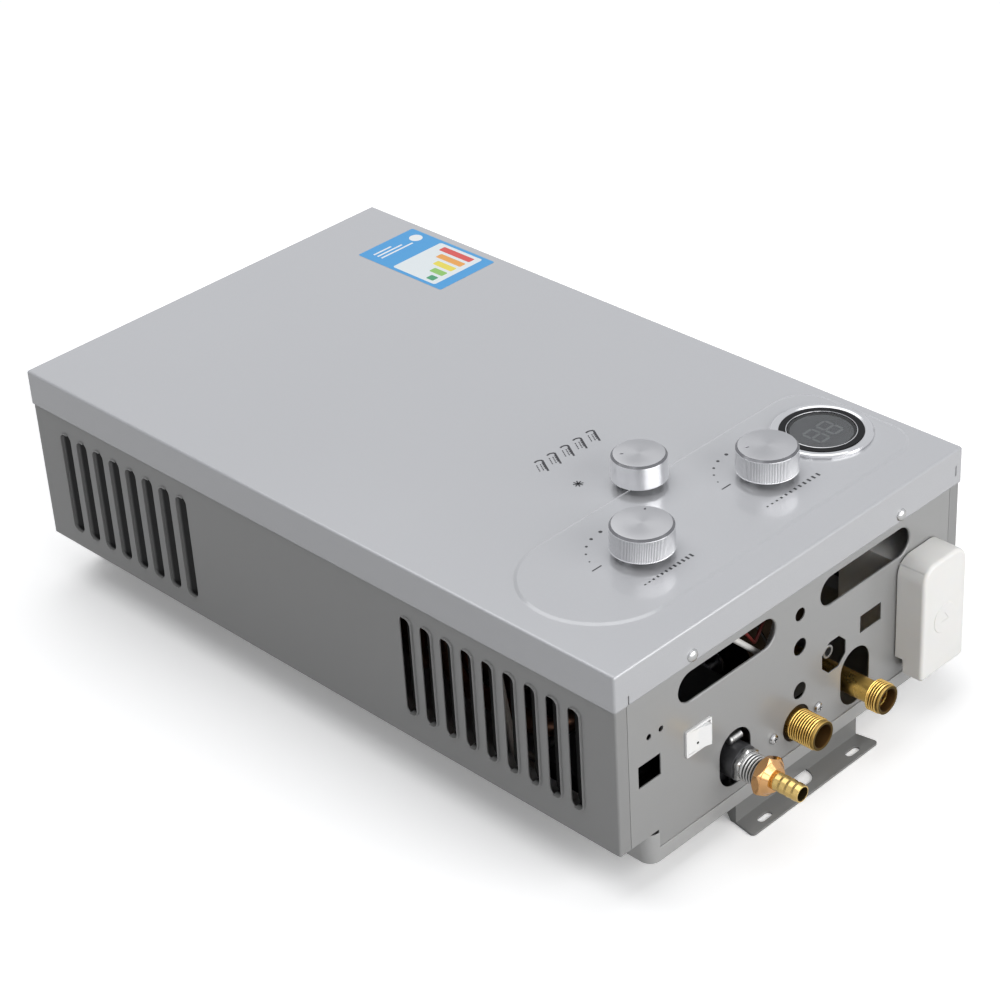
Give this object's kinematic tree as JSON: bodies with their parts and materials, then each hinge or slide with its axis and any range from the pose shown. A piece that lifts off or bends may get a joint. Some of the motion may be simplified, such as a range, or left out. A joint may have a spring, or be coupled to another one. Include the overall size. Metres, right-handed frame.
{
  "type": "water heater",
  "caption": "Flat sheet-metal tankless gas water heater lying on its back, with round control knobs, a round display, louvred sides and fittings at one end.",
  "frame": {"origin": "middle of the bounding box in X and Y, on the plane of the wall brackets that it lies on", "axes": "+Z comes out of the front cover, +Y runs from the fitting end to the flue end, +X is the right-hand side seen from the front"},
  "size_m": [0.32, 0.614, 0.1877],
  "materials": {
    "cover_paint": "gloss",
    "panel_steel": "satin",
    "tray_steel": "satin",
    "bracket_steel": "satin",
    "screw_steel": "polished",
    "stainless": "satin",
    "chrome": "polished",
    "knob_metal": "satin",
    "cast_alloy": "matte",
    "brass": "satin",
    "rose_brass": "satin",
    "copper": "satin",
    "plated_steel": "satin",
    "white_plastic": "gloss",
    "black_plastic": "matte",
    "black_ring": "gloss",
    "grey_glass": "gloss",
    "membrane": "matte",
    "silicone": "matte",
    "lead_cover": "matte",
    "ceramic": "gloss",
    "cell_jacket": "gloss"
  },
  "bodies": {
    "heater": {"front_cover": "cover_paint", "left_side_panel": "panel_steel", "right_side_panel": "panel_steel", "bottom_end_panel": "panel_steel", "top_end_panel": "panel_steel", "back_panel": "tray_steel", "lower_wall_bracket": "bracket_steel", "upper_wall_bracket": "bracket_steel", "cover_screws": "screw_steel", "valve_screws": "screw_steel", "chassis_screws": "screw_steel", "flue_collar": "stainless", "flue_hood": "stainless", "exchanger_shell": "copper", "exchanger_fins": "copper", "exchanger_tubes": "copper", "water_coil": "copper", "combustion_chamber": "copper", "burner_frame": "stainless", "burner_bars": "stainless", "mounting_stands": "tray_steel", "gas_manifold": "cast_alloy", "gas_nozzles": "brass", "gas_valve_body": "cast_alloy", "water_valve_body": "brass", "water_valve_cover": "brass", "diaphragm": "membrane", "microswitch": "black_plastic", "gas_inlet_nipple": "plated_steel", "gas_union_nut": "rose_brass", "hose_barb": "brass", "cold_inlet_fitting": "brass", "hot_outlet_fitting": "brass", "hot_outlet_pipe": "copper", "cold_feed_pipe": "copper", "drain_port": "plated_steel", "pulse_igniter": "black_plastic", "ignition_electrodes": "ceramic", "ignition_leads": "silicone", "panel_leads": "lead_cover", "overheat_thermostat": "black_plastic", "battery_case": "white_plastic", "battery_cells": "cell_jacket", "battery_contacts": "plated_steel", "switch_housing": "white_plastic", "display_bezel": "chrome", "display_frame": "black_ring", "display_lens": "grey_glass", "display_module": "black_plastic"},
    "gas_knob": {"gas_knob": "knob_metal", "gas_spindle": "stainless"},
    "water_knob": {"water_knob": "knob_metal", "water_spindle": "stainless"},
    "season_knob": {"season_knob": "knob_metal", "season_spindle": "stainless"},
    "rocker": {"switch_rocker": "white_plastic"},
    "battery_lid": {"battery_lid": "white_plastic"},
    "push_rod": {"push_rod": "stainless", "gas_poppet": "membrane"},
    "switch_lever": {"microswitch_lever": "stainless"}
  },
  "joints": [
    {"name": "gas_knob_turn", "type": "hinge", "parent": "heater", "child": "gas_knob", "pos_m": [-0.057, -0.1855, 0.17], "axis": [0, 0, 1], "range_deg": [0, 110]},
    {"name": "water_knob_turn", "type": "hinge", "parent": "heater", "child": "water_knob", "pos_m": [0.057, -0.1855, 0.17], "axis": [0, 0, 1], "range_deg": [-110, 0]},
    {"name": "season_knob_turn", "type": "hinge", "parent": "heater", "child": "season_knob", "pos_m": [0, -0.1315, 0.17], "axis": [0, 0, 1], "range_deg": [-90, 0]},
    {"name": "rocker_switch_rock", "type": "hinge", "parent": "heater", "child": "rocker", "pos_m": [-0.0903, -0.2534, 0.0848], "axis": [0, 0, 1], "range_deg": [0, 22]},
    {"name": "battery_lid_slide", "type": "slide", "parent": "heater", "child": "battery_lid", "axis": [0, -1, 0], "range_m": [0, 0.02]},
    {"name": "push_rod_slide", "type": "slide", "parent": "heater", "child": "push_rod", "axis": [-1, 0, 0], "range_m": [0, 0.004]},
    {"name": "switch_lever_turn", "type": "hinge", "parent": "heater", "child": "switch_lever", "pos_m": [-0.0061, -0.173, 0.0679], "axis": [0, 0, -1], "range_deg": [0, 15.5]}
  ],
  "couplings": [
    {"joint": "switch_lever_turn", "follows": "push_rod_slide", "rad_per_m": 65}
  ]
}
